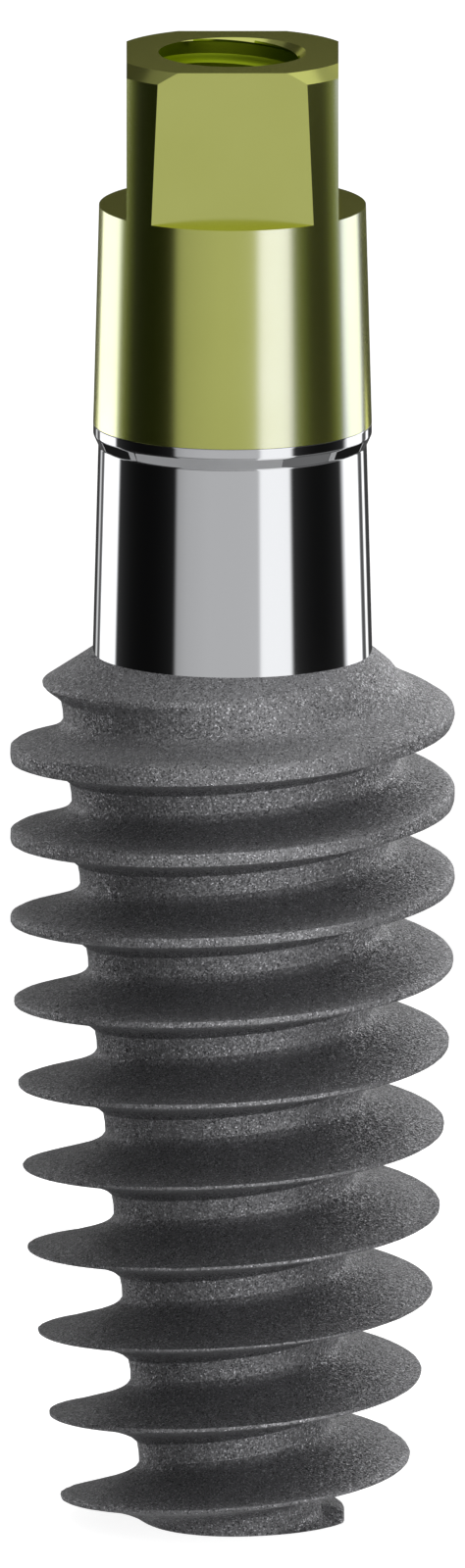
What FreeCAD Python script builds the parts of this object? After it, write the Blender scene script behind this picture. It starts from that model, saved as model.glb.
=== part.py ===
import FreeCAD, Part
import math
import os

# Two-piece dental implant: a tapered titanium screw that is set in the jaw, and a square-headed
# abutment screwed into its mouth. Millimetres, +Z up. The origin is the middle of the screw's
# flat tip, and +X is the side on which the heights of the thread are stated.

# Screw body: heights of its zones, from the mouth down to the tip
rim_height = 0.117
undercut_height = 0.123
collar_height = 2.277
flare_height = 0.594
parallel_length = 2.563
middle_length = 3.497
tip_length = 2.941

# Screw body: outside diameters, over the crests where there is thread
rim_diameter = 3.01
undercut_diameter = 2.90
collar_foot_diameter = 3.02
thread_diameter = 4.80
middle_foot_diameter = 4.42
tip_diameter = 3.64
tip_face_diameter = 2.36
tip_chamfer_height = 0.24

# Screw body: the right-hand thread that holds in the bone
thread_pitch = 0.91
groove_height_at_x = 0.297
core_top_diameter = 3.80
core_tip_diameter = 1.90
narrowest_crest = 0.024
crest_under_flank_deg = 12.2
crest_top_flank_deg = 16.1
root_easing = 0.11

# Screw body: the socket that the abutment and the driver go into
seat_mouth_diameter = 2.60
hex_across_flats = 2.00
hex_depth = 1.50
socket_bore_diameter = 1.60
socket_depth = 4.70

# Abutment: the post above the mouth
post_taper_deg = 1.5
ledge_height = 2.40
square_height = 1.68
square_across_flats = 2.29
corner_chamfer_height = 0.127
corner_chamfer_width = 0.115

# Abutment: the threaded hole in its head
top_thread_diameter = 1.60
top_bore_diameter = 1.28
top_bore_depth = 2.90

# Abutment: what goes down into the socket
boss_length = 1.35
stem_length = 4.10
stem_chamfer = 0.18

# Running gaps between the two pieces
seat_gap = 0.03
boss_gap = 0.05
stem_gap = 0.02

drill_point_deg = 118.0

collar_foot_z = tip_length + middle_length + parallel_length + flare_height
undercut_foot_z = collar_foot_z + collar_height
rim_foot_z = undercut_foot_z + undercut_height
mouth_z = rim_foot_z + rim_height
ledge_z = mouth_z + ledge_height
post_top_z = ledge_z + square_height


def turned(points):
    """The solid that a closed outline of (radius, height) points makes, turned about the Z axis."""
    corners = [FreeCAD.Vector(radius, 0, height) for radius, height in points]
    outline = Part.makePolygon(corners + [corners[0]])
    solid = Part.Face(outline).revolve(FreeCAD.Vector(0, 0, 0), FreeCAD.Vector(0, 0, 1), 360)
    return solid


def drilled(diameter, top_z, floor_z):
    """A drilled hole from top_z down to floor_z, where the cone of the drill's point begins."""
    radius = diameter / 2
    point_length = radius / math.tan(math.radians(drill_point_deg / 2))
    return turned([(0, top_z), (radius, top_z), (radius, floor_z), (0, floor_z - point_length)])


def prism(side_count, across_flats, low_z, high_z, turn_deg):
    """An upright prism of regular section, one of its flats facing turn_deg from +X."""
    corner_radius = across_flats / 2 / math.cos(math.pi / side_count)
    corners = []
    for side in range(side_count):
        angle = math.radians(turn_deg) + math.pi * (2 * side + 1) / side_count
        x = corner_radius * math.cos(angle)
        y = corner_radius * math.sin(angle)
        corners.append(FreeCAD.Vector(x, y, low_z))
    outline = Part.makePolygon(corners + [corners[0]])
    return Part.Face(outline).extrude(FreeCAD.Vector(0, 0, high_z - low_z))


def body_blank():
    """The screw body before its thread is cut: collar, flare, parallel stretch and two tapers."""
    tip_radius = tip_diameter / 2
    middle_radius = middle_foot_diameter / 2
    thread_radius = thread_diameter / 2
    chamfer_share = tip_chamfer_height / tip_length
    chamfer_radius = tip_radius + (middle_radius - tip_radius) * chamfer_share
    return turned([
        (0, 0),
        (tip_face_diameter / 2, 0),
        (chamfer_radius, tip_chamfer_height),
        (middle_radius, tip_length),
        (thread_radius, tip_length + middle_length),
        (thread_radius, tip_length + middle_length + parallel_length),
        (collar_foot_diameter / 2, collar_foot_z),
        (undercut_diameter / 2, undercut_foot_z),
        (rim_diameter / 2, rim_foot_z),
        (rim_diameter / 2, mouth_z),
        (0, mouth_z),
    ])


def core_radius(height):
    """Radius of the cone that the floor of the thread's groove lies on."""
    slope = (core_top_diameter - core_tip_diameter) / 2 / collar_foot_z
    return core_tip_diameter / 2 + slope * height


def deepest_groove():
    """The greatest depth of the groove, from the cone or cylinder over the crests to its floor."""
    over_crests = [
        (tip_diameter, 0),
        (middle_foot_diameter, tip_length),
        (thread_diameter, tip_length + middle_length),
        (thread_diameter, tip_length + middle_length + parallel_length),
    ]
    return max(diameter / 2 - core_radius(height) for diameter, height in over_crests)


def eased_corner(before, corner, after, leg):
    """The two points, a leg from an inside corner of an outline, that the flat easing it joins."""
    to_before = (before - corner).normalize()
    to_after = (after - corner).normalize()
    return [corner + to_before * leg, corner + to_after * leg]


def thread_groove():
    """The thread's groove: its section carried along a helix on the core's cone.

    It starts under the tip and ends over the flare, so that it runs out where the flare is thinner
    than the core. Its sides just miss each other outside the deepest crest.
    """
    under_slope = math.tan(math.radians(crest_under_flank_deg))
    top_slope = math.tan(math.radians(crest_top_flank_deg))
    depth = deepest_groove()
    root_width = thread_pitch - narrowest_crest - depth * (under_slope + top_slope)
    reach = depth + narrowest_crest / 2 / (under_slope + top_slope)

    turns_under_tip = 2
    start_z = groove_height_at_x - turns_under_tip * thread_pitch
    turns = math.ceil((collar_foot_z + thread_pitch / 2 - start_z) / thread_pitch)
    cone_angle = math.atan(core_radius(1) - core_radius(0))

    def at(depth_out, up):
        """A point of the section, by its distance out from the core and up from the middle."""
        return FreeCAD.Vector(core_radius(start_z + up) + depth_out, 0, start_z + up)

    low_out = at(reach, -root_width / 2 - reach * top_slope)
    low_root = at(0, -root_width / 2)
    high_root = at(0, root_width / 2)
    high_out = at(reach, root_width / 2 + reach * under_slope)
    corners = [low_out]
    corners += eased_corner(low_out, low_root, high_root, root_easing)
    corners += eased_corner(low_root, high_root, high_out, root_easing)
    corners += [high_out, low_out]
    section = Part.makePolygon(corners)

    path = Part.makeLongHelix(thread_pitch, turns * thread_pitch, core_radius(start_z),
                              math.degrees(cone_angle))
    path.translate(FreeCAD.Vector(0, 0, start_z))
    sweep = Part.BRepOffsetAPI.MakePipeShell(Part.Wire(path.Edges))
    sweep.setBiNormalMode(FreeCAD.Vector(0, 0, 1))
    sweep.add(section, False, False)
    sweep.build()
    sweep.makeSolid()
    return sweep.shape()


def socket():
    """The room inside the screw body: bevelled seat, hexagon for the driver and threaded bore."""
    seat_radius = seat_mouth_diameter / 2
    bevel = turned([(0, mouth_z), (seat_radius, mouth_z), (0, mouth_z - seat_radius)])
    hexagon = prism(6, hex_across_flats, mouth_z - hex_depth, mouth_z, 90)
    bore = drilled(socket_bore_diameter, mouth_z - hex_depth / 2, mouth_z - socket_depth)
    return bevel.common(prism(6, seat_mouth_diameter, 0, mouth_z, 90)).fuse(hexagon).fuse(bore)


def implant_body():
    """The screw body, with its thread cut and its socket sunk."""
    return body_blank().cut(thread_groove()).cut(socket())


def square_abutment():
    """The abutment: tapered post, square head with ledges at its foot, boss and threaded stem."""
    slope = math.tan(math.radians(post_taper_deg))
    foot_radius = rim_diameter / 2
    corner_foot_z = post_top_z - corner_chamfer_height
    corner_radius = foot_radius - slope * (corner_foot_z - mouth_z)
    boss_radius = hex_across_flats / 2 - boss_gap
    bevel_radius = seat_mouth_diameter / 2 - seat_gap
    stem_radius = socket_bore_diameter / 2 - stem_gap
    stem_end_z = mouth_z - stem_length
    post = turned([
        (0, post_top_z),
        (corner_radius - corner_chamfer_width, post_top_z),
        (corner_radius, corner_foot_z),
        (foot_radius, mouth_z),
        (bevel_radius, mouth_z),
        (boss_radius, mouth_z - (bevel_radius - boss_radius)),
        (boss_radius, mouth_z - boss_length),
        (stem_radius, mouth_z - boss_length),
        (stem_radius, stem_end_z + stem_chamfer),
        (stem_radius - stem_chamfer, stem_end_z),
        (0, stem_end_z),
    ])
    over = 1.0
    outside = Part.makeCylinder(rim_diameter, square_height + over, FreeCAD.Vector(0, 0, ledge_z))
    square = prism(4, square_across_flats, ledge_z, post_top_z + over, 0)
    hole = drilled(top_bore_diameter, post_top_z, post_top_z - top_bore_depth)
    mouth_radius = top_thread_diameter / 2
    mouth = turned([(0, post_top_z), (mouth_radius, post_top_z), (0, post_top_z - mouth_radius)])
    return post.cut(outside.cut(square)).cut(hole).cut(mouth)


pieces = {
    "implant_body": implant_body(),
    "square_abutment": square_abutment(),
}
os.makedirs("parts", exist_ok=True)
for name, shape in pieces.items():
    solid = shape.Solids[0]
    print(name, shape.isValid(), len(shape.Solids), "solid,", round(solid.Volume, 3), "mm3,",
          len(solid.Faces), "faces")
    solid.exportStep("parts/" + name + ".step")
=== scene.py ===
# A titanium dental implant with its square-headed abutment, stood on its tip on a pale table.
# Sizes are in millimetres, the frame is in metres.
import math

import bmesh
import bpy
import numpy as np
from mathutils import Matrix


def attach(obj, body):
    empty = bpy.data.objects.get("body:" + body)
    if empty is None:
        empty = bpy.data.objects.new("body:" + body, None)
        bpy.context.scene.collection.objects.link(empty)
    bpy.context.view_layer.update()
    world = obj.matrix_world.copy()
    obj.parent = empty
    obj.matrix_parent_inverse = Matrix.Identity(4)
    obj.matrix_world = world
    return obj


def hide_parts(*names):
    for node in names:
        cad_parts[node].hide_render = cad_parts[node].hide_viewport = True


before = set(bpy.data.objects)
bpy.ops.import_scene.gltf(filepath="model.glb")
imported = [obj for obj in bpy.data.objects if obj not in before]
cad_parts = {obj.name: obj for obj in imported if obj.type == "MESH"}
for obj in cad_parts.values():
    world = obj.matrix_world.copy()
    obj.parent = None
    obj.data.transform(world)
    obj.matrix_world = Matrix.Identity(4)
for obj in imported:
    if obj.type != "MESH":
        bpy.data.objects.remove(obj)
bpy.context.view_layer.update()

# The screw body is turned from one bar of titanium alloy. A coarse right-hand thread is cut into
# its tapered body, which is then blasted with grit and etched dark; the neck stays polished.
# Inside are a bevelled seat, a hexagon for the driver and a fine thread for the abutment.
MM = 0.001
BODY_COLUMNS = 192
TIP_LENGTH = 2.941
MIDDLE_LENGTH = 3.497
PARALLEL_LENGTH = 2.563
FLARE_HEIGHT = 0.594
COLLAR_HEIGHT = 2.277
UNDERCUT_HEIGHT = 0.123
RIM_HEIGHT = 0.117
CYLINDER_FOOT_Z = TIP_LENGTH + MIDDLE_LENGTH
FLARE_FOOT_Z = CYLINDER_FOOT_Z + PARALLEL_LENGTH
COLLAR_FOOT_Z = FLARE_FOOT_Z + FLARE_HEIGHT
UNDERCUT_FOOT_Z = COLLAR_FOOT_Z + COLLAR_HEIGHT
RIM_FOOT_Z = UNDERCUT_FOOT_Z + UNDERCUT_HEIGHT
MOUTH_Z = RIM_FOOT_Z + RIM_HEIGHT

RIM_RADIUS = 1.505
UNDERCUT_RADIUS = 1.45
COLLAR_FOOT_RADIUS = 1.51
CREST_RADIUS = 2.40
FLARE_SLOPE = (CREST_RADIUS - COLLAR_FOOT_RADIUS) / FLARE_HEIGHT
MIDDLE_FOOT_RADIUS = 2.21
TIP_RADIUS = 1.82
TIP_FACE_RADIUS = 1.207
TIP_CHAMFER_SLOPE = 5.9
TIP_LAND_HEIGHT = 0.022
TIP_ROWS_Z = 0.38
CORE_TOP_RADIUS = 1.90
CORE_TIP_RADIUS = 0.94

# The thread's groove: the height of its middle on the +X side, half the width of its flat root,
# and how far its two sides lean for each millimetre of depth.
PITCH = 0.91
GROOVE_HEIGHT_AT_X = 0.297
HALF_ROOT = 0.198
WALL_START = 0.82
CREST_UNDER_SLOPE = math.tan(math.radians(12.2))
CREST_TOP_SLOPE = math.tan(math.radians(16.1))
ROOT_ROUNDING_ABOVE = 0.55
ROOT_ROUNDING_BELOW = 0.40
FLARE_ROUNDING = 0.12
CREST_ROUNDING = 0.10
RUN_OUT_ROUNDING = 0.25
RUN_OUT_FOOT_Z = FLARE_FOOT_Z - 0.4
RUN_OUT_TOP_Z = FLARE_FOOT_Z + 0.2

# The thread's blunt start: bearings in degrees from the +X side, heights above the tip's face.
BLUNT_HEIGHT = 0.25
BLUNT_ROUNDING = 0.05
FILLED_FROM = (-12, -3)
FILLED_TO = (60, 95)
FILLED_UP_TO = (0.09, 0.23)
FACED_FROM = (-70, -40)
FACED_TO = (50, 110)

MERGE_DISTANCE = 0.00005
SHARP_ANGLE = math.radians(32)


def smooth_min(a, b, reach):
    """The lesser of a and b, rounded where they differ by less than reach."""
    share = np.clip(0.5 + 0.5 * (b - a) / reach, 0.0, 1.0)
    return b * (1 - share) + a * share - reach * share * (1 - share)


def smooth_max(a, b, reach):
    """The greater of a and b, rounded where they differ by less than reach."""
    return -smooth_min(-a, -b, reach)


def over_crests(height):
    """Radius over the crests: two tapers, a parallel stretch, then the flare up to the collar."""
    tapers = np.interp(height, [0, TIP_LENGTH, CYLINDER_FOOT_Z],
                       [TIP_RADIUS, MIDDLE_FOOT_RADIUS, CREST_RADIUS])
    flare = COLLAR_FOOT_RADIUS + FLARE_SLOPE * (COLLAR_FOOT_Z - height)
    return smooth_min(tapers, flare, FLARE_ROUNDING)


def core(height):
    """Radius of the cone on which the groove's floor lies."""
    return CORE_TIP_RADIUS + (CORE_TOP_RADIUS - CORE_TIP_RADIUS) * height / COLLAR_FOOT_Z


def ramp(value, start, end):
    """From 0 at start to 1 at end, level at both, and 0 or 1 beyond."""
    share = np.clip((value - start) / (end - start), 0, 1)
    return share * share * (3 - 2 * share)


def thread_start(angles, height):
    """Two limits that make a blunt start of the thread, low on the +X side.

    The first is how much metal the groove leaves on its floor there: it comes in and dies away
    over the FILLED bearings and heights. The second is the radius to which the crests are faced
    off round the tip, up to BLUNT_HEIGHT between the FACED bearings and to the land elsewhere.
    """
    degrees = (np.degrees(angles) + 180) % 360 - 180
    filled = ramp(degrees, *FILLED_FROM) * (1 - ramp(degrees, *FILLED_TO))
    filled = filled * (1 - ramp(height, *FILLED_UP_TO))
    faced = ramp(degrees, *FACED_FROM) * (1 - ramp(degrees, *FACED_TO))
    land = TIP_LAND_HEIGHT + (BLUNT_HEIGHT - TIP_LAND_HEIGHT) * faced
    limit = TIP_FACE_RADIUS + TIP_CHAMFER_SLOPE * np.maximum(height - land, 0)
    return (TIP_FACE_RADIUS - CORE_TIP_RADIUS) * filled, limit


def ring(radius, height, angles):
    """One closed row of points at these angles; radius and height are numbers or one per angle."""
    radius = np.broadcast_to(radius, angles.shape)
    height = np.broadcast_to(height, angles.shape)
    return np.stack([radius * np.cos(angles), radius * np.sin(angles), height], axis=-1)


def spun(outline, angles):
    """Rows of points from an outline of (radius, height) pairs turned about the Z axis."""
    return np.stack([ring(radius, height, angles) for radius, height in outline])


def eased(corners, radius, steps=3):
    """An outline with each inner corner turned into an arc of this radius.

    A corner's arc starts and ends the same distance from it along both sides. Its points follow
    the quadratic curve through those two ends that the corner pulls on.
    """
    corners = [np.array(corner, float) for corner in corners]
    outline = [corners[0]]
    for before, corner, after in zip(corners, corners[1:], corners[2:]):
        to_before = (before - corner) / np.linalg.norm(before - corner)
        to_after = (after - corner) / np.linalg.norm(after - corner)
        start, end = corner + to_before * radius, corner + to_after * radius
        outline.append(start + to_before * radius / 3)
        for share in np.linspace(0, 1, steps + 1):
            outline.append(start * (1 - share) ** 2 + corner * 2 * share * (1 - share)
                           + end * share ** 2)
        outline.append(end + to_after * radius / 3)
    outline.append(corners[-1])
    return [tuple(point) for point in outline]


def sleeve_faces(rows, columns, shift):
    """Quads of a tube of points. Its last column meets its first one shift rows further up."""
    row, column = np.meshgrid(np.arange(rows - 1), np.arange(columns), indexing="ij")
    row, column = row.ravel(), column.ravel()
    last = column == columns - 1
    next_row = row + np.where(last, shift, 0)
    inside = next_row + 1 < rows
    row, column, next_row = row[inside], column[inside], next_row[inside]
    next_column = (column + 1) % columns
    return np.stack([
        row * columns + column,
        next_row * columns + next_column,
        (next_row + 1) * columns + next_column,
        (row + 1) * columns + column,
    ], axis=-1)


def closed_piece(name, stretches, materials):
    """One closed mesh out of stretches of rows, each (points, shift, material number).

    The number may be one for each point, and a face takes that of its first point.
    Neighbouring stretches end on the same ring of points, which is merged. A ring of radius nought
    closes an end. Edges that turn by more than SHARP_ANGLE or part two materials stay sharp.
    """
    points, faces, numbers, start = [], [], [], 0
    for rows, shift, number in stretches:
        found = sleeve_faces(rows.shape[0], rows.shape[1], shift) + start
        points.append(rows.reshape(-1, 3) * MM)
        faces.append(found)
        numbers.append(np.broadcast_to(number, rows.shape[:2]).ravel()[found[:, 0] - start])
        start += rows.shape[0] * rows.shape[1]
    mesh = bpy.data.meshes.new(name)
    mesh.from_pydata(np.concatenate(points), [], np.concatenate(faces))
    mesh.polygons.foreach_set("material_index", np.concatenate(numbers).astype(np.int32))
    joined = bmesh.new()
    joined.from_mesh(mesh)
    bmesh.ops.remove_doubles(joined, verts=joined.verts, dist=MERGE_DISTANCE * MM)
    bmesh.ops.recalc_face_normals(joined, faces=joined.faces)
    for edge in joined.edges:
        sides = {face.material_index for face in edge.link_faces}
        edge.smooth = len(sides) == 1 and edge.calc_face_angle(0) < SHARP_ANGLE
    for face in joined.faces:
        face.smooth = True
    joined.to_mesh(mesh)
    joined.free()
    for material in materials:
        mesh.materials.append(material)
    piece = bpy.data.objects.new(name, mesh)
    bpy.context.scene.collection.objects.link(piece)
    return piece


def grain(points, size, seed):
    """Noise between -1 and 1 at each point: random values on a lattice of this size, eased between.

    Each lattice point's value comes from its three whole numbers, mixed by products and shifts.
    """
    cell = np.floor(points / size).astype(np.int64)
    part = points / size - cell
    part = part * part * (3 - 2 * part)
    total = np.zeros(points.shape[:-1])
    for corner in np.ndindex(2, 2, 2):
        place = cell + np.array(corner)
        mixed = place @ np.array([73856093, 19349663, 83492791]) + seed * 2654435761
        mixed = (mixed ^ (mixed >> 13)) * 1274126177 & 0x7FFFFFFF
        value = mixed / 0x3FFFFFFF - 1
        weight = np.prod(np.where(corner, part, 1 - part), axis=-1)
        total += value * weight
    return total


def body_radius(angles, height):
    """Radius of the threaded body: the surface over the crests, with the groove cut into it.

    The groove has a flat root, a steep side under the crest above it and one on the crest below it.
    How far a point lies from the groove's middle line, along the axis, says on which it is.
    """
    across = (height - GROOVE_HEIGHT_AT_X) / PITCH - angles / (2 * math.pi)
    across = (across - np.round(across)) * PITCH
    rise = np.where(across > 0, (across - HALF_ROOT) / CREST_UNDER_SLOPE,
                    (-across - HALF_ROOT) / CREST_TOP_SLOPE)
    rounding = np.where(across > 0, ROOT_ROUNDING_ABOVE, ROOT_ROUNDING_BELOW)
    groove = smooth_max(np.zeros_like(rise), rise, rounding)
    left_metal, limit = thread_start(angles, height)
    crest = CREST_ROUNDING + RUN_OUT_ROUNDING * ramp(height, RUN_OUT_FOOT_Z, RUN_OUT_TOP_Z)
    radius = smooth_min(over_crests(height), core(height) + left_metal + groove, crest)
    radius = smooth_min(radius, limit, BLUNT_ROUNDING)
    return np.where(height >= COLLAR_FOOT_Z, COLLAR_FOOT_RADIUS, radius)


def bone_thread_rows(angles):
    """Rows that follow the coarse thread, from TIP_ROWS_Z up to the flare's top.

    Each turn has the same rows: over the root, up the underside of a crest, over its land and down
    its top side. The shares say where they lie on each, from 0 to 1, or from the root's middle to
    its ends. Where a row would pass either end of the body, it stays on that plane. Near the collar
    the groove dies out, and there the rows keep a least depth, so that none crosses another.
    """
    least_depth = 0.05
    root = np.array([-0.55, 0.0, 0.55])
    wall = np.array([0.0, 0.05, 0.11, 0.18, 0.28, 0.42, 0.6, 0.78, 0.9, 0.97])
    land = np.array([0.0, 0.2, 0.4, 0.6, 0.8])
    turns = np.arange(-2, math.ceil(COLLAR_FOOT_Z / PITCH) + 2)
    middle = GROOVE_HEIGHT_AT_X + PITCH * (turns[:, None] + angles[None, :] / (2 * math.pi))
    depth = np.clip(over_crests(middle) - core(middle), least_depth, None)
    depth_above = np.clip(over_crests(middle + PITCH) - core(middle + PITCH), least_depth, None)
    start = WALL_START * HALF_ROOT
    under_crest = HALF_ROOT + depth * CREST_UNDER_SLOPE
    top_crest = HALF_ROOT + depth_above * CREST_TOP_SLOPE
    offsets = [share * HALF_ROOT + 0 * depth for share in root]
    offsets += [start + share * (under_crest - start) for share in wall]
    offsets += [under_crest + share * (PITCH - top_crest - under_crest) for share in land]
    offsets += [PITCH - top_crest + share * (top_crest - start) for share in 1 - wall[::-1]]
    height = middle[:, None, :] + np.stack(offsets, axis=1)
    per_turn = height.shape[1]
    height = np.clip(height.reshape(-1, len(angles)), TIP_ROWS_Z, COLLAR_FOOT_Z)
    radius = body_radius(angles, height)
    return np.stack([radius * np.cos(angles), radius * np.sin(angles), height], axis=-1), per_turn


def linear(hex_code):
    """An sRGB hex colour as the linear values that a shader takes."""
    values = np.array([int(hex_code[place:place + 2], 16) / 255 for place in (0, 2, 4)])
    values = np.where(values <= 0.04045, values / 12.92, ((values + 0.055) / 1.055) ** 2.4)
    return (*values.tolist(), 1.0)


def node(tree, kind, links=(), **settings):
    """Adds a shader node with its (from socket, to name) links and its settings.

    A setting that starts with a capital letter is an input socket, with _ for each space. The
    others are the node's properties.
    """
    made = tree.nodes.new(kind)
    for key, value in settings.items():
        socket = made.inputs.get(key.replace("_", " ")) if key[0].isupper() else None
        if socket is None:
            setattr(made, key, value)
        else:
            socket.default_value = value
    for source, name in links:
        tree.links.new(source, made.inputs[name])
    return made


def new_material(name):
    """An empty node material, with its output and object coordinates."""
    material = bpy.data.materials.new(name)
    material.use_nodes = True
    tree = material.node_tree
    tree.nodes.clear()
    output = tree.nodes.new("ShaderNodeOutputMaterial")
    place = tree.nodes.new("ShaderNodeTexCoord").outputs["Object"]
    return material, tree, output, place


FACET_SIZE = 0.014
FACET_LEAN = 0.6
FACET_TONES = [(0.0, "3c3c3e"), (0.25, "848486"), (0.85, "909092"), (1.0, "d8d8dc")]
PIT_SIZE = 0.05
PIT_DEPTH = 0.006
PATCH_SIZE = 0.11


def blasted_titanium():
    """Titanium alloy, grit-blasted and acid-etched: dull dark grey, of tiny facets at all angles.

    The real facets are under 0.01 mm across. They are drawn at 0.014 mm, the finest that shows.
    Each leans its own way and has its own tone, so that single ones catch a light in the dark
    parts and others stay dark in the lit ones. Pits from the grit lie under them.
    """
    material, tree, output, place = new_material("blasted_titanium")
    facets = node(tree, "ShaderNodeTexVoronoi", [(place, "Vector")], Scale=1 / (FACET_SIZE * MM))
    pits = node(tree, "ShaderNodeTexNoise", [(place, "Vector")],
                Scale=1 / (PIT_SIZE * MM), Detail=3.0)
    patch = node(tree, "ShaderNodeTexNoise", [(place, "Vector")],
                 Scale=1 / (PATCH_SIZE * MM), Detail=2.0)
    bump = node(tree, "ShaderNodeBump", [(pits.outputs["Fac"], "Height")],
                Strength=1.0, Distance=PIT_DEPTH * MM)
    centred = node(tree, "ShaderNodeVectorMath", [(facets.outputs["Color"], 0)],
                   operation="SUBTRACT")
    centred.inputs[1].default_value = (0.5, 0.5, 0.5)
    leaning = node(tree, "ShaderNodeVectorMath", [
        (centred.outputs[0], 0), (bump.outputs["Normal"], 2)], operation="MULTIPLY_ADD")
    leaning.inputs[1].default_value = (FACET_LEAN, FACET_LEAN, FACET_LEAN)
    facing = node(tree, "ShaderNodeVectorMath", [(leaning.outputs[0], 0)], operation="NORMALIZE")
    chance = node(tree, "ShaderNodeSeparateColor", [(facets.outputs["Color"], "Color")])
    colour = node(tree, "ShaderNodeValToRGB", [(chance.outputs["Green"], "Fac")])
    shades = colour.color_ramp.elements
    for stop, (share, tone) in enumerate(FACET_TONES):
        shade = shades[stop] if stop < 2 else shades.new(share)
        shade.position = share
        shade.color = linear(tone)
    rough = node(tree, "ShaderNodeMapRange", [(patch.outputs["Fac"], "Value")],
                 To_Min=0.50, To_Max=0.60)
    surface = node(tree, "ShaderNodeBsdfPrincipled", [
        (colour.outputs["Color"], "Base Color"), (rough.outputs["Result"], "Roughness"),
        (facing.outputs[0], "Normal")], Metallic=1.0)
    tree.links.new(surface.outputs[0], output.inputs["Surface"])
    return material


TURNING_SIZE = 0.03


def polished_titanium():
    """Titanium alloy turned and polished to a mirror.

    The faint rings that turning leaves, about 0.03 mm apart, show as bands a little less smooth.
    """
    material, tree, output, place = new_material("polished_titanium")
    stretch = node(tree, "ShaderNodeMapping", [(place, "Vector")], Scale=(0.05, 0.05, 1.0))
    marks = node(tree, "ShaderNodeTexNoise", [(stretch.outputs[0], "Vector")],
                 Scale=1 / (TURNING_SIZE * MM), Detail=2.0)
    rough = node(tree, "ShaderNodeMapRange", [(marks.outputs["Fac"], "Value")],
                 To_Min=0.02, To_Max=0.05)
    surface = node(tree, "ShaderNodeBsdfPrincipled", [(rough.outputs["Result"], "Roughness")],
                   Base_Color=linear("abacae"), Metallic=1.0)
    tree.links.new(surface.outputs[0], output.inputs["Surface"])
    return material


SEAT_MOUTH_RADIUS = 1.30
HALF_HEX = 1.00
HEX_DEPTH = 1.50
BORE_MAJOR_RADIUS = 0.90
BORE_MINOR_RADIUS = 0.725
FINE_PITCH = 0.35
FINE_HALF_FLOOR = FINE_PITCH / 16
THREAD_RELIEF = 0.15
BORE_THREAD_DEPTH = 4.40
SOCKET_DEPTH = 4.70
DRILL_POINT_SLOPE = 1 / math.tan(math.radians(59))
EDGE = 0.012
ROUGH_HEIGHT = 0.006
FINE_GRAIN = 0.07
COARSE_GRAIN = 0.15


def fine_thread_rows(angles, low_z, high_z, ridge_radius, groove_radius, middle_z, ends,
                     half_floor):
    """Rows that follow a 60 degree thread of FINE_PITCH between two planes.

    ends gives the plain radius at low_z and high_z, between which the groove fades in and out over
    half a pitch. middle_z is the height of a groove's middle on the +X side, and half_floor is half
    the width of its flat floor. In a hole the grooves have the greater radius.
    """
    depth = groove_radius - ridge_radius
    half_mouth = half_floor + abs(depth) * math.tan(math.radians(30))
    down_flank = np.array([-0.09, 0.09, 0.35, 0.65, 0.91, 1.09])
    shares = half_floor + (half_mouth - half_floor) * down_flank
    shares = np.concatenate([[-FINE_PITCH / 2], -shares[::-1], [0], shares]) / FINE_PITCH
    first = math.floor((low_z - middle_z) / FINE_PITCH) - 1
    last = math.ceil((high_z - middle_z) / FINE_PITCH) + 1
    turns = np.arange(first - 1, last + 1)
    steps = (turns[:, None] + shares[None, :]).reshape(-1)
    height = middle_z + FINE_PITCH * (steps[:, None] + angles[None, :] / (2 * math.pi))
    height = np.clip(height, low_z, high_z)
    across = (height - middle_z) / FINE_PITCH - angles / (2 * math.pi)
    across = np.abs(across - np.round(across)) * FINE_PITCH
    flank = np.clip((half_mouth - across) / (half_mouth - half_floor), 0, 1)
    fade = np.clip(np.minimum(height - low_z, high_z - height) / (FINE_PITCH / 2), 0, 1)
    plain = np.interp(height, [low_z, high_z], ends)
    radius = ridge_radius + depth * flank
    radius = plain + (radius - plain) * fade
    points = np.stack([radius * np.cos(angles), radius * np.sin(angles), height], axis=-1)
    return points, len(shares)


def roughened(points):
    """Points of the body moved in or out by up to ROUGH_HEIGHT, but for those on its end planes."""
    rough = grain(points * [1, 1, 1.5], FINE_GRAIN, 1) * 0.6 + grain(points, COARSE_GRAIN, 2) * 0.4
    between = (points[..., 2] > 0) & (points[..., 2] < COLLAR_FOOT_Z)
    swell = 1 + rough * between * ROUGH_HEIGHT / np.hypot(points[..., 0], points[..., 1])
    return points * np.stack([swell, swell, np.ones_like(swell)], axis=-1)


body_angles = np.arange(BODY_COLUMNS) * 2 * math.pi / BODY_COLUMNS
thread_rows, rows_per_turn = bone_thread_rows(body_angles)
thread_rows = roughened(thread_rows)
tip_heights = np.concatenate([[0, TIP_LAND_HEIGHT], np.linspace(0.04, TIP_ROWS_Z, 18)])
tip_side_rows = roughened(np.stack([
    ring(body_radius(body_angles, height), height, body_angles) for height in tip_heights]))
tip_rows = np.concatenate([[tip_side_rows[0] * [share, share, 1] for share in (0, 0.5, 0.9)],
                           tip_side_rows])

neck_rows = spun(eased([
    (COLLAR_FOOT_RADIUS, COLLAR_FOOT_Z),
    (UNDERCUT_RADIUS, UNDERCUT_FOOT_Z),
    (RIM_RADIUS, RIM_FOOT_Z),
    (RIM_RADIUS, MOUTH_Z),
    (SEAT_MOUTH_RADIUS, MOUTH_Z),
], EDGE), body_angles)

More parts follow.
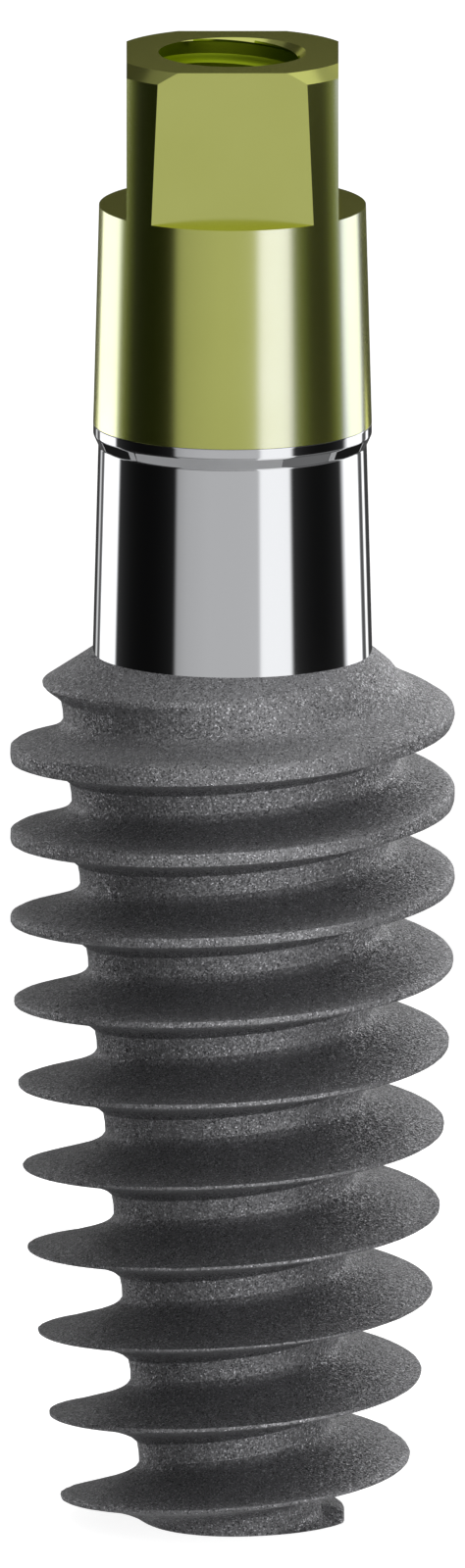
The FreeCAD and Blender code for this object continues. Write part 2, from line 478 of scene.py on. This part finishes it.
sixth = (body_angles + math.pi / 6) % (math.pi / 3) - math.pi / 6
hexagon = HALF_HEX / np.cos(sixth)
relief_z = MOUTH_Z - HEX_DEPTH - THREAD_RELIEF
seat_rows = np.stack([
    ring(SEAT_MOUTH_RADIUS, MOUTH_Z, body_angles),
    ring(hexagon, MOUTH_Z - SEAT_MOUTH_RADIUS + hexagon, body_angles),
    ring(hexagon, MOUTH_Z - HEX_DEPTH, body_angles),
    ring(BORE_MAJOR_RADIUS, MOUTH_Z - HEX_DEPTH, body_angles),
    ring(BORE_MAJOR_RADIUS, relief_z, body_angles),
])
bore_foot_z = MOUTH_Z - BORE_THREAD_DEPTH
bore_rows, bore_per_turn = fine_thread_rows(
    body_angles, bore_foot_z, relief_z, BORE_MINOR_RADIUS, BORE_MAJOR_RADIUS, relief_z,
    (BORE_MINOR_RADIUS, BORE_MAJOR_RADIUS), FINE_HALF_FLOOR)
floor_rows = spun([
    (BORE_MINOR_RADIUS, bore_foot_z),
    (BORE_MINOR_RADIUS, MOUTH_Z - SOCKET_DEPTH),
    (0, MOUTH_Z - SOCKET_DEPTH - BORE_MINOR_RADIUS * DRILL_POINT_SLOPE),
], body_angles)

implant = closed_piece("implant_screw", [
    (tip_rows, 0, 0),
    (thread_rows, rows_per_turn, 0),
    (neck_rows, 0, 1),
    (seat_rows, 0, 1),
    (bore_rows, bore_per_turn, 1),
    (floor_rows, 0, 1),
], [blasted_titanium(), polished_titanium()])
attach(implant, "implant")
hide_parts("implant_body")

# The abutment is turned from a bar of the same alloy, its head is milled to a square, and the whole
# is anodised to a greenish gold. A thread cut in its mouth takes a small screw; its own threaded
# stem screws down into the implant until its foot meets the rim.
POST_COLUMNS = 200
POST_TAPER = math.radians(1.5)
POST_SLOPE = math.tan(POST_TAPER)
LEDGE_Z = MOUTH_Z + 2.40
POST_TOP_Z = LEDGE_Z + 1.68
HALF_SQUARE = 1.145
CORNER_CHAMFER_HEIGHT = 0.127
CORNER_CHAMFER_WIDTH = 0.115
HEAD_MAJOR_RADIUS = 0.80
HEAD_MINOR_RADIUS = 0.68
HEAD_THREAD_DEPTH = 2.55
HEAD_BORE_DEPTH = 2.90
HEAD_GROOVE_Z = POST_TOP_Z - 0.2075
HALF_HEAD_FLOOR = 0.07
BEVEL_RADIUS = 1.27
BOSS_RADIUS = 0.95
BOSS_LENGTH = 1.35
NECK_RADIUS = 0.66
STEM_RIDGE_RADIUS = 0.88
STEM_GROOVE_RADIUS = 0.70
STEM_LENGTH = 4.10
STEM_CHAMFER = 0.18
STEM_END_EASE = 0.02
STEM_END_RADIUS = STEM_RIDGE_RADIUS - STEM_END_EASE - STEM_CHAMFER
STEM_SHOULDER = 0.05
COLUMN_AT_EDGE = math.radians(36)
CHAMFER_MARGIN = 0.003

CLOUD_SIZE = 0.9
SATIN_SIZE = 0.02
TEAR_SIZE = 0.03


def anodised_titanium():
    """Anodised titanium: a clear oxide film whose thickness turns the metal greenish gold.

    The film follows a fine satin of machining, so that reflections are softer than on the collar.
    """
    material, tree, output, place = new_material("anodised_titanium")
    cloud = node(tree, "ShaderNodeTexNoise", [(place, "Vector")],
                 Scale=1 / (CLOUD_SIZE * MM), Detail=3.0)
    satin = node(tree, "ShaderNodeTexNoise", [(place, "Vector")],
                 Scale=1 / (SATIN_SIZE * MM), Detail=2.0)
    tint = node(tree, "ShaderNodeMix", [(cloud.outputs["Fac"], "Factor")], data_type="RGBA")
    tint.inputs[6].default_value = linear("a3a75c")
    tint.inputs[7].default_value = linear("a8ac63")
    rough = node(tree, "ShaderNodeMapRange", [(satin.outputs["Fac"], "Value")],
                 To_Min=0.16, To_Max=0.22)
    surface = node(tree, "ShaderNodeBsdfPrincipled", [
        (tint.outputs[2], "Base Color"), (rough.outputs["Result"], "Roughness")],
        Metallic=1.0, Specular_Tint=(1.0, 1.0, 0.55, 1.0))
    tree.links.new(surface.outputs[0], output.inputs["Surface"])
    return material


def shaded_tapped_titanium():
    """Tapped titanium in the hole, torn a little by the tap. Its darker, greener colour is painted
    shade of the hole's depth and of light passed between its walls.
    """
    material, tree, output, place = new_material("tapped_titanium_painted_shade")
    tears = node(tree, "ShaderNodeTexNoise", [(place, "Vector")],
                 Scale=1 / (TEAR_SIZE * MM), Detail=2.0)
    rough = node(tree, "ShaderNodeMapRange", [(tears.outputs["Fac"], "Value")],
                 To_Min=0.38, To_Max=0.5)
    # The dark green base colour is painted shade inside the hole.
    surface = node(tree, "ShaderNodeBsdfPrincipled", [(rough.outputs["Result"], "Roughness")],
                   Base_Color=linear("788818"), Metallic=1.0, Specular_Tint=(0.6, 0.75, 0.03, 1.0))
    tree.links.new(surface.outputs[0], output.inputs["Surface"])
    return material


def post_radius(height):
    """Radius of the post's cone, which carries on from the rim."""
    return RIM_RADIUS - POST_SLOPE * (height - MOUTH_Z)


def facet_angles(radius):
    """The post's columns, slid round so that one always lies on each edge of the square's flats.

    An edge lies where a circle of this radius leaves the flat: at the angle from the flat's middle
    whose cosine is the half square over the radius.
    """
    edge = math.acos(HALF_SQUARE / radius)
    angles = np.arange(POST_COLUMNS) * 2 * math.pi / POST_COLUMNS
    quarter = math.pi / 2
    flat = np.round(angles / quarter) * quarter
    off = angles - flat
    slid = np.interp(np.abs(off), [0, COLUMN_AT_EDGE, quarter / 2], [0, edge, quarter / 2])
    return flat + np.sign(off) * slid


def head_ring(radius, height):
    """A section of the square head: its flats, joined by arcs of this radius."""
    angles = facet_angles(radius)
    quarter = math.pi / 2
    off = angles - np.round(angles / quarter) * quarter
    return ring(np.minimum(radius, HALF_SQUARE / np.cos(off)), height, angles)


post_angles = np.arange(POST_COLUMNS) * 2 * math.pi / POST_COLUMNS
ledge_angles = facet_angles(post_radius(LEDGE_Z))
stem_foot_z = MOUTH_Z - STEM_LENGTH
stem_head_z = MOUTH_Z - BOSS_LENGTH - THREAD_RELIEF - STEM_SHOULDER
stem_end_rows = spun([
    (0, stem_foot_z),
    (STEM_END_RADIUS, stem_foot_z),
], post_angles)
stem_rows, stem_per_turn = fine_thread_rows(
    post_angles, stem_foot_z, stem_head_z, STEM_RIDGE_RADIUS, STEM_GROOVE_RADIUS,
    relief_z + FINE_PITCH / 2, (STEM_END_RADIUS, NECK_RADIUS), FINE_HALF_FLOOR)
boss_rows = spun(eased([
    (NECK_RADIUS, stem_head_z),
    (NECK_RADIUS, MOUTH_Z - BOSS_LENGTH),
    (BOSS_RADIUS, MOUTH_Z - BOSS_LENGTH),
    (BOSS_RADIUS, MOUTH_Z - BEVEL_RADIUS + BOSS_RADIUS),
    (BEVEL_RADIUS, MOUTH_Z),
    (RIM_RADIUS, MOUTH_Z),
], EDGE), post_angles)
cone_rows = spun([
    (post_radius(MOUTH_Z), MOUTH_Z),
    (post_radius(MOUTH_Z), MOUTH_Z + EDGE),
    (post_radius(LEDGE_Z), LEDGE_Z),
], ledge_angles)
cone_rows[0] = boss_rows[-1]
chamfer_foot_z = POST_TOP_Z - CORNER_CHAMFER_HEIGHT
head_heights = np.linspace(LEDGE_Z, chamfer_foot_z, 6)
head_rows = [head_ring(post_radius(height), height) for height in head_heights]
for share in np.linspace(0, 1, 7)[1:]:
    radius = post_radius(chamfer_foot_z) - share * CORNER_CHAMFER_WIDTH
    head_rows.append(head_ring(radius, chamfer_foot_z + share * CORNER_CHAMFER_HEIGHT))
mouth_edge = ring(HEAD_MAJOR_RADIUS, POST_TOP_Z, post_angles)
head_rows = np.stack([cone_rows[-1]] + head_rows + [mouth_edge])
mouth_foot_z = POST_TOP_Z - HEAD_THREAD_DEPTH
mouth_rows, mouth_per_turn = fine_thread_rows(
    post_angles, mouth_foot_z, POST_TOP_Z + FINE_PITCH / 2, HEAD_MINOR_RADIUS, HEAD_MAJOR_RADIUS,
    HEAD_GROOVE_Z, (HEAD_MINOR_RADIUS, HEAD_MAJOR_RADIUS), HALF_HEAD_FLOOR)
mouth_height = np.minimum(mouth_rows[..., 2], POST_TOP_Z)
mouth_radius = np.hypot(mouth_rows[..., 0], mouth_rows[..., 1])
mouth_chamfer = HEAD_MAJOR_RADIUS - (POST_TOP_Z - mouth_height)
mouth_radius = np.where(mouth_height >= POST_TOP_Z, HEAD_MAJOR_RADIUS,
                        np.maximum(mouth_radius, mouth_chamfer))
mouth_rows = np.stack([mouth_radius * np.cos(post_angles), mouth_radius * np.sin(post_angles),
                       mouth_height], axis=-1)
# The chamfer has the head's own finish. What the tap has cut below it has the tapped one, whose
# darker, greener colour is painted shade of the hole.
below_chamfer = (mouth_radius > mouth_chamfer + CHAMFER_MARGIN).astype(int)
hole_rows = spun([
    (HEAD_MINOR_RADIUS, mouth_foot_z),
    (HEAD_MINOR_RADIUS, POST_TOP_Z - HEAD_BORE_DEPTH),
    (0, POST_TOP_Z - HEAD_BORE_DEPTH - HEAD_MINOR_RADIUS * DRILL_POINT_SLOPE),
], post_angles)

abutment = closed_piece("square_abutment_post", [
    (stem_end_rows, 0, 0),
    (stem_rows, stem_per_turn, 0),
    (boss_rows, 0, 0),
    (cone_rows, 0, 0),
    (head_rows, 0, 0),
    (mouth_rows, mouth_per_turn, below_chamfer),
    (hole_rows, 0, 1),
], [anodised_titanium(), shaded_tapped_titanium()])
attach(abutment, "abutment")
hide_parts("square_abutment")

# The camera looks a little down on the object, from far off, as through a long lens.
ELEVATION = math.radians(11.54)
FRAME_HEIGHT = 16.954
CENTRE_Z = 8.115
DISTANCE = 120
lens = bpy.data.cameras.new("camera")
lens.type = "ORTHO"
lens.ortho_scale = FRAME_HEIGHT * MM
lens.clip_start = 0.001
lens.clip_end = 1.0
camera = bpy.data.objects.new("camera", lens)
camera.location = (0, -DISTANCE * math.cos(ELEVATION) * MM,
                   (CENTRE_Z + DISTANCE * math.sin(ELEVATION)) * MM)
camera.rotation_euler = (math.pi / 2 - ELEVATION, 0, 0)
bpy.context.scene.collection.objects.link(camera)
bpy.context.scene.camera = camera
bpy.context.scene.view_settings.view_transform = "Standard"

# The table is a pale sheet that glows a little, as a light table does. Round it stands a ring of
# panels: soft boxes, strip lights and black flags, stacked in six rows. The dull body is lit by
# the lowest and the three highest, the collar mirrors the second and the gold post the third.
TABLE_RADIUS = 220
RING_RADIUS = 30
OVERHEAD_Z = 56
OVERHEAD_RADIUS = 35
OVERHEAD_X = 12
OVERHEAD_LIGHT = 1.4
RING_STEP = 1.0
SOFT_EDGE = 1.2
SPILL = 0.07
SPILL_REACH = 8.0
SPILL_END = 60
ABOVE_TABLE = 0.02
CARD_Z = 0.05
CARD_COLUMNS = 24
TABLE_GLOW = 0.2
TABLE_SEEN = 0.88
TABLE_GREY = 0.6
ROOM_GLOW = 0.45
ROOM_SEEN = 1.0


def glow(name, colour=None, clear=False):
    """A panel's light: its red, green and blue strengths, or those stored on its mesh.

    A clear panel lets all other light through and only adds its own.
    """
    material, tree, output, place = new_material(name)
    if colour is None:
        stored = node(tree, "ShaderNodeAttribute", attribute_name="light")
        light = node(tree, "ShaderNodeEmission", [(stored.outputs["Color"], "Color")])
    else:
        light = node(tree, "ShaderNodeEmission", Color=(*colour, 1.0))
    if clear:
        glass = node(tree, "ShaderNodeBsdfTransparent", Color=(1.0, 1.0, 1.0, 1.0))
        both = node(tree, "ShaderNodeAddShader")
        tree.links.new(light.outputs[0], both.inputs[0])
        tree.links.new(glass.outputs[0], both.inputs[1])
        light = both
    tree.links.new(light.outputs[0], output.inputs["Surface"])
    return material


def table_top():
    """Pale matt sheet, which the camera sees as white with the object's shadow on it."""
    material, tree, output, place = new_material("pale_table")
    rays = node(tree, "ShaderNodeLightPath")
    level = node(tree, "ShaderNodeMapRange", [(rays.outputs["Is Camera Ray"], "Value")],
                 To_Min=TABLE_GLOW, To_Max=TABLE_SEEN)
    light = node(tree, "ShaderNodeEmission", [(level.outputs["Result"], "Strength")])
    matt = node(tree, "ShaderNodeBsdfDiffuse", Color=(TABLE_GREY, TABLE_GREY, TABLE_GREY, 1.0))
    both = node(tree, "ShaderNodeAddShader")
    tree.links.new(light.outputs[0], both.inputs[0])
    tree.links.new(matt.outputs[0], both.inputs[1])
    tree.links.new(both.outputs[0], output.inputs["Surface"])
    return material


def stage_sheet(name, points, material):
    """A one-sided sheet of the studio, from a grid of points in millimetres."""
    rows, columns = points.shape[:2]
    index = np.arange(rows * columns).reshape(rows, columns)
    quads = np.stack([index[:-1, :-1], index[:-1, 1:], index[1:, 1:], index[1:, :-1]], axis=-1)
    mesh = bpy.data.meshes.new(name)
    mesh.from_pydata(points.reshape(-1, 3) * MM, [], quads.reshape(-1, 4))
    mesh.materials.append(material)
    sheet = bpy.data.objects.new(name, mesh)
    bpy.context.scene.collection.objects.link(sheet)
    return sheet


def round_row(radius, bearings, height):
    """Points at these bearings, in degrees from the camera's side to its right."""
    around = np.radians(bearings)
    return np.stack([radius * np.sin(around), -radius * np.cos(around),
                     np.full_like(around, height)], axis=-1)


def mirrored_z(wall_z, bearings):
    """Height on the ring that a wall of the neck or post, at this height, mirrors to the camera.

    A wall that leans back by the taper sends the camera's line of sight down less steeply, by twice
    the taper where it faces the camera and by nothing where it is seen edge on.
    """
    down = ELEVATION - 2 * POST_TAPER * np.cos(np.radians(bearings / 2))
    return wall_z - (RING_RADIUS - RIM_RADIUS) * np.tan(down)


def softened(corners):
    """Bearings round the ring and the light at each, from a list of (bearing, light) corners.

    Light changes evenly from one corner to the next. All edges are then softened, by SOFT_EDGE and
    by a faint spill that dies away over SPILL_REACH degrees.
    """
    bearings = corners[0][0] + np.arange(360 / RING_STEP + 1) * RING_STEP
    places = [place for place, light in corners]
    lights = np.array([np.broadcast_to(light, 3) for place, light in corners], float)
    around = np.stack([np.interp(bearings[:-1], places, lights[:, band]) for band in range(3)])
    off = np.arange(-SPILL_END, SPILL_END + RING_STEP, RING_STEP)
    edge = np.exp(-(off / SOFT_EDGE) ** 2 / 2)
    spill = np.exp(-np.abs(off) / SPILL_REACH)
    weights = (1 - SPILL) * edge / edge.sum() + SPILL * spill / spill.sum()
    reach = len(off) // 2
    wrapped = np.concatenate([around[:, -reach:], around, around[:, :reach + 1]], axis=1)
    return bearings, np.stack([np.convolve(band, weights, "valid") for band in wrapped], axis=-1)


def stand_row(name, radius, foot_z, top_z, corners, material):
    """A ring of panels, from what one wall height mirrors to what another does.

    The camera doesn't see it. Its light is stored on its points, and is the same up each panel.
    """
    bearings, lights = softened(corners)
    middle = (bearings + 180) % 360 - 180
    heights = [np.maximum(mirrored_z(wall_z, middle), ABOVE_TABLE) for wall_z in (foot_z, top_z)]
    rows = np.stack([round_row(radius, bearings, height) for height in heights])
    row = stage_sheet(name, rows, material)
    row.visible_camera = False
    stored = row.data.color_attributes.new("light", "FLOAT_COLOR", "POINT")
    both = np.concatenate([lights, np.ones((len(lights), 1))], axis=1)
    stored.data.foreach_set("color", np.tile(both, (2, 1)).ravel())
    return row


corner = np.array([-1.0, 1.0]) * TABLE_RADIUS
table_x, table_y = np.meshgrid(corner, corner)
stage_sheet("table", np.stack([table_x, table_y, 0 * table_x], axis=-1), table_top())

# Each row of panels: the wall heights whose mirror images are its foot and top, and its light at
# each corner. Light is one strength, or red, green and blue.
COLLAR_ROW_FOOT_Z = COLLAR_FOOT_Z - 0.3
TOP_ROW_TOP_Z = 21
HIGH_ROW_TOP_Z = 32
CROWN_ROW_TOP_Z = 49
PANEL_ROWS = {
    "foot": (0, COLLAR_ROW_FOOT_Z, [
        (-137, 1.0), (-106, 1.0), (-106, 0.01), (-48, 0.01), (-48, 0.3), (-10, 0.5), (22, 0.7),
        (22, 2.2), (54, 2.2), (54, 0.3), (106, 0.3), (106, 1.5), (137, 1.5), (137, 0.1),
        (223, 0.1)]),
    "collar": (COLLAR_ROW_FOOT_Z, RIM_FOOT_Z, [
        (-140, 2.8), (-111.5, 2.8), (-111.5, 0.006), (-47, 0.006), (-47, 0.76), (-38, 0.92),
        (-20, 1.0), (22.7, 1.0), (22.7, 2.15), (50, 2.15), (50, 0.008), (103, 0.008), (110, 2.8),
        (134, 2.8), (134, 0.1), (144, 0.1), (144, 2.5), (150, 2.5), (150, 0.05), (207, 0.05),
        (207, 1.2), (212, 1.2), (212, 0.1), (220, 0.1)]),
    "post": (RIM_FOOT_Z, POST_TOP_Z, [
        (-146, 0.7), (-109, 0.7), (-109, 0.004), (-48, 0.004), (-48, 0.76), (-10, 0.99),
        (22, 0.99), (22, 2.35), (51, 2.35), (51, 0.008), (106, 0.008), (106, 2.75), (136, 2.75),
        (136, (0.095, 0.095, 0.073)), (214, (0.095, 0.095, 0.073))]),
    "top": (POST_TOP_Z, TOP_ROW_TOP_Z, [
        (-137, 2.0), (-106, 1.2), (-106, 0.006), (-48, 0.006), (-48, 0.8), (22, 0.96), (22, 2.2),
        (51, 2.2), (51, 0.1), (105, 0.1), (105, 1.3), (134, 1.5), (142, 3.8),
        (165, 3.0), (170, 0.08), (193, 0.08), (198, 1.4), (223, 2.0)]),
    "high": (TOP_ROW_TOP_Z, HIGH_ROW_TOP_Z, [
        (-137, 0.8), (-106, 0.3), (-106, 0.01), (-50, 0.01), (-30, 1.3), (22, 1.4), (22, 1.6),
        (51, 1.6), (51, 0.2), (105, 0.2), (105, 1.0), (134, 1.1), (142, 1.5), (163, 1.2),
        (168, 0.07), (195, 0.07), (200, 0.4), (223, 0.8)]),
    "crown": (HIGH_ROW_TOP_Z, CROWN_ROW_TOP_Z, [
        (-137, 0.1), (-106, 0.1), (-106, 0.02), (-48, 0.02), (-48, 0.3), (22, 0.5), (22, 1.0),
        (51, 1.0), (51, 0.5), (105, 0.5), (105, 0.6), (130, 0.8), (185, 0.8), (190, 0.1),
        (223, 0.1)]),
}
panel_light = glow("panel_light")
for name, (foot_z, top_z, corners) in PANEL_ROWS.items():
    stand_row(name + "_panels", RING_RADIUS, foot_z, top_z, corners, panel_light)

# A clear veil hangs in front of the post's row and gives the post alone some coloured light, so
# that strips and soft box come out cream on it and the flags a deep olive.
FLAG_VEIL = (0.012, 0.017, 0.0)
RIGHT_FLAG_VEIL = (0.03, 0.033, 0.0)
VEIL_RADIUS = RING_RADIUS - 0.5
VEIL_FOOT_Z = UNDERCUT_FOOT_Z - 2.5
VEIL_TOP_Z = POST_TOP_Z + 4
veil = stand_row("veil", VEIL_RADIUS, VEIL_FOOT_Z, VEIL_TOP_Z, [
    (-146, (2.15, 2.1, 7.2)), (-109, (2.15, 2.1, 7.2)), (-109, (0.35, 0.4, 0.0)), (-92, FLAG_VEIL),
    (-48, FLAG_VEIL), (-48, 0), (22, 0), (22, (0.1, 0, 4.0)), (51, (0.1, 0, 4.0)),
    (51, (0.3, 0.36, 0.0)), (68, RIGHT_FLAG_VEIL), (88, RIGHT_FLAG_VEIL), (105, (0.5, 0.55, 0.0)),
    (105, (0, 0, 5.4)), (137, (0, 0, 5.4)), (137, 0), (214, 0)], glow("veil_light", clear=True))
veil.light_linking.receiver_collection = bpy.data.collections.new("lit_by_veil")
veil.light_linking.receiver_collection.objects.link(abutment)

# Cards lie on the table, and an overhead soft box hangs above. Only the metal sees the cards.
# Each card: its first and last bearing, its inner and outer radius, and its light.
CARDS = {
    "left_card_near": (-106, -48, 3, 8.3, 0.02),
    "left_card_far": (-106, -48, 14.5, 29.5, 0.03),
    "softbox_card_near": (22, 54, 3, 7.5, 2.0),
    "softbox_card_far": (22, 54, 12, 29.5, 1.8),
    "right_card_near": (54, 106, 3, 8.3, 0.2),
    "right_card_middle": (54, 106, 8.3, 14.5, 0.3),
    "right_card_far": (54, 106, 14.5, 29.5, 0.2),
    "back_card_right": (113, 152, 10, 29.5, 0.02),
    "back_card_left": (208, 247, 10, 29.5, 0.02),
}
for name, (start, end, near, far, strength) in CARDS.items():
    bearings = np.linspace(start, end, CARD_COLUMNS)
    rows = np.stack([round_row(radius, bearings, CARD_Z) for radius in (near, far)])
    card = stage_sheet(name, rows, glow(name, (strength, strength, strength)))
    card.visible_camera = False
    card.visible_diffuse = False
    card.visible_shadow = False
bearings = np.linspace(0, 360, CARD_COLUMNS)
rows = np.stack([round_row(radius, bearings, OVERHEAD_Z) for radius in (0, OVERHEAD_RADIUS)])
overhead_light = glow("overhead_light", (OVERHEAD_LIGHT, OVERHEAD_LIGHT, OVERHEAD_LIGHT))
overhead = stage_sheet("overhead_softbox", rows + [OVERHEAD_X, 0, 0], overhead_light)
overhead.visible_camera = False

world = bpy.data.worlds.new("studio")
bpy.context.scene.world = world
world.use_nodes = True
sky = world.node_tree
sky.nodes.clear()
rays = node(sky, "ShaderNodeLightPath")
level = node(sky, "ShaderNodeMapRange", [(rays.outputs["Is Camera Ray"], "Value")],
             To_Min=ROOM_GLOW, To_Max=ROOM_SEEN)
backdrop = node(sky, "ShaderNodeBackground", [(level.outputs["Result"], "Strength")])
node(sky, "ShaderNodeOutputWorld", [(backdrop.outputs[0], "Surface")])
